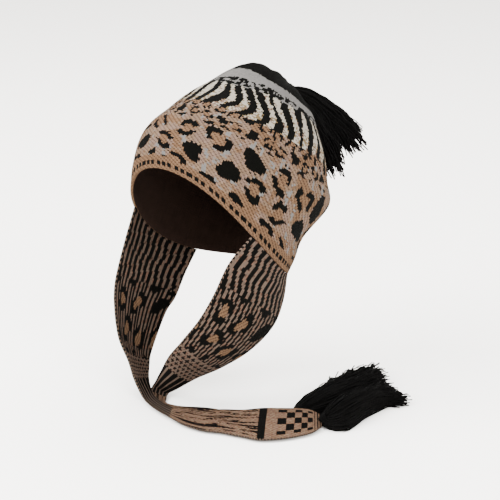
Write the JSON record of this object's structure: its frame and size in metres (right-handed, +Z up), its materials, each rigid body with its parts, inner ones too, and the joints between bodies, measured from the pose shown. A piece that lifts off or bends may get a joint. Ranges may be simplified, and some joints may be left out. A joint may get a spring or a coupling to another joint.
{
  "type": "knitted earflap hat",
  "caption": "Slouchy jacquard-knit hat with earflaps that run into long ties, with yarn tassels on the ties and at the tip.",
  "frame": {"origin": "the middle of the head opening, where the wearer's head sits in the hat", "axes": "+Z up, -Y towards the front of the hat, +X towards the wearer's left"},
  "size_m": [0.257, 0.271, 0.3301],
  "materials": {
    "knit": "wool-blend jacquard knit in black, tan and pale grey",
    "yarn": "soft twisted black yarn"
  },
  "bodies": {
    "root": {"crown": "knit", "left_earflap": "knit", "right_earflap": "knit", "crown_tassel": "yarn", "left_tassel": "yarn", "right_tassel": "yarn"}
  },
  "joints": []
}
